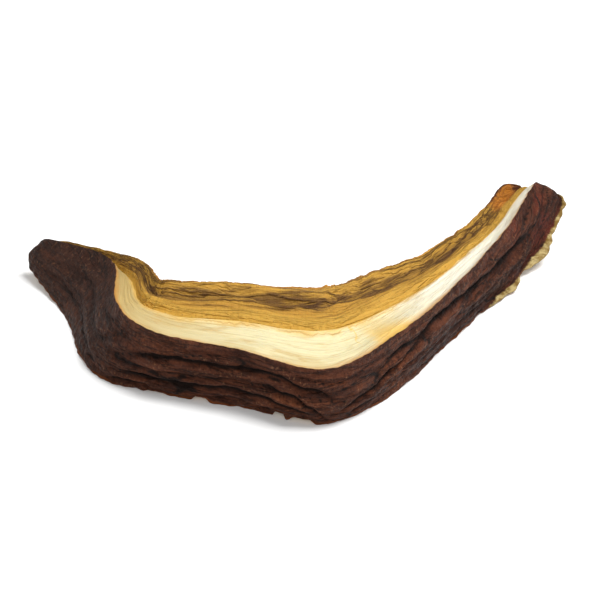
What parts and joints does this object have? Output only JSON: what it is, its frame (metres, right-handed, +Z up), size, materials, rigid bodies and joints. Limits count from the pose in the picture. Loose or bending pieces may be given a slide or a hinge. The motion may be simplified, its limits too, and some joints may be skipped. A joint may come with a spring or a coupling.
{
  "type": "dried porcini mushroom slice",
  "caption": "Crescent slice of a dried porcini cap, lying on its cut face: brown skin outside, cream flesh and an olive tube layer inside, right tip curled up.",
  "frame": {"origin": "middle of the slice's bounding box in plan, at the height of the surface that it lies on", "axes": "+X from the left tip to the right, curled tip; +Y from the front of the bend towards the tips; +Z up, out of the upper cut face"},
  "size_m": [0.0624, 0.0398, 0.0074],
  "materials": {
    "dried_mushroom": "matte, leathery dried skin in dark chestnut, cream flesh and mustard-olive tubes"
  },
  "bodies": {
    "root": {"porcini_slice": "dried_mushroom"}
  },
  "joints": []
}
